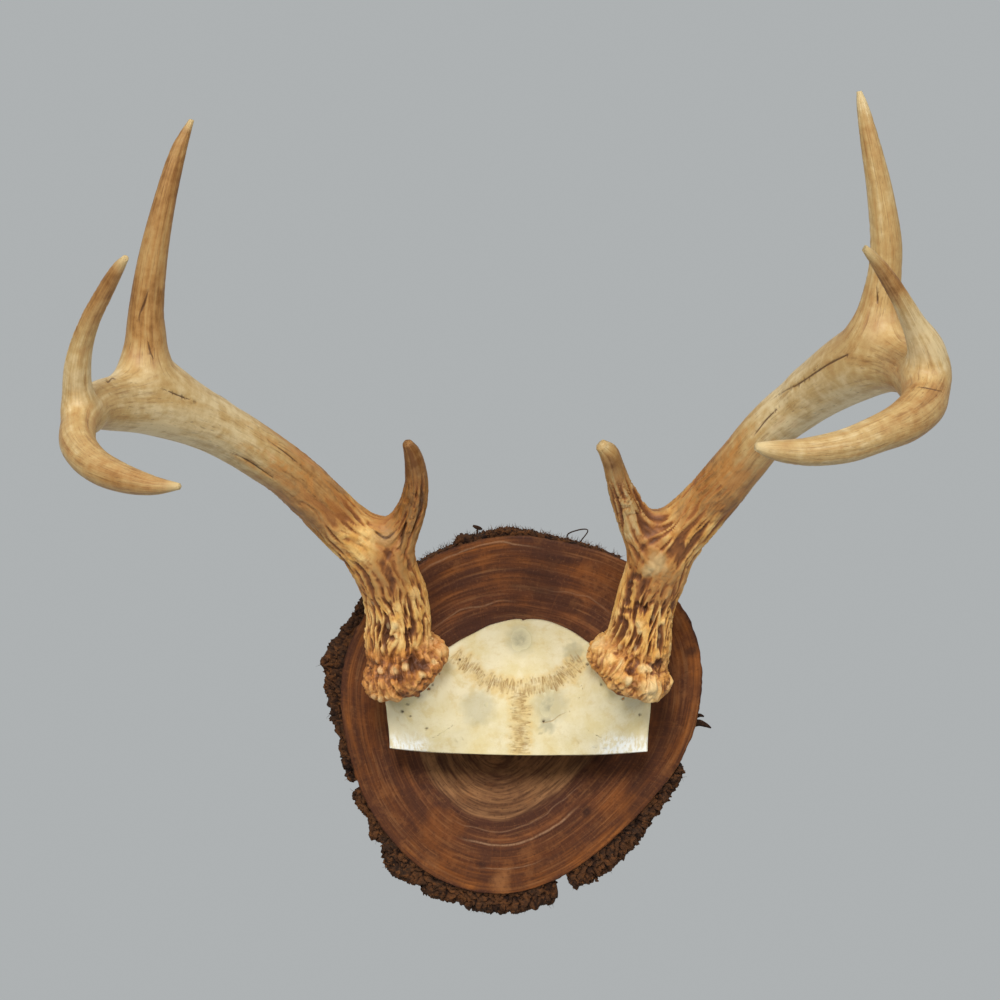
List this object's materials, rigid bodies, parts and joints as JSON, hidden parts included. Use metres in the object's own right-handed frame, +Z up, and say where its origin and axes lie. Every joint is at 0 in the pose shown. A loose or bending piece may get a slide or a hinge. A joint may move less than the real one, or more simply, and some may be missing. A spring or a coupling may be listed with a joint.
{
  "type": "mounted deer antler rack",
  "caption": "Branched deer antlers on their sawn skull plate, fixed to an oval bark-edged slice of log that hangs on a wall.",
  "frame": {"origin": "on the flat back of the log slice, behind the middle of the skull plate", "axes": "+Z up as it hangs, +Y into the wall, +X to the viewer's right; the antlers reach out along -Y"},
  "size_m": [0.3649, 0.3251, 0.3723],
  "materials": {
    "antler": "satin antler, ridged and orange-brown at the base, smooth tan above, pale at the tips",
    "bone": "matt cream bone with pores and sutures",
    "filler": "matt grey filler",
    "wood_slice": "oiled dark end grain with growth rings",
    "bark": "rough dry bark",
    "block_wood": "plain sawn softwood",
    "steel": "zinc plated"
  },
  "bodies": {
    "root": {"log_slice": "wood_slice", "bark_top": "bark", "bark_left": "bark", "bark_bottom": "bark", "bark_lower_right": "bark", "hanger_plate": "steel", "hanger_screw_left": "steel", "hanger_screw_right": "steel", "mounting_block": "block_wood", "skull_plate": "bone", "filler_top": "filler", "filler_left": "filler", "filler_right": "filler", "screw_top": "steel", "screw_left": "steel", "screw_right": "steel", "left_main_beam": "antler", "left_brow_tine": "antler", "left_g2_tine": "antler", "left_g3_tine": "antler", "right_main_beam": "antler", "right_brow_tine": "antler", "right_g2_tine": "antler", "right_g3_tine": "antler"}
  },
  "joints": []
}
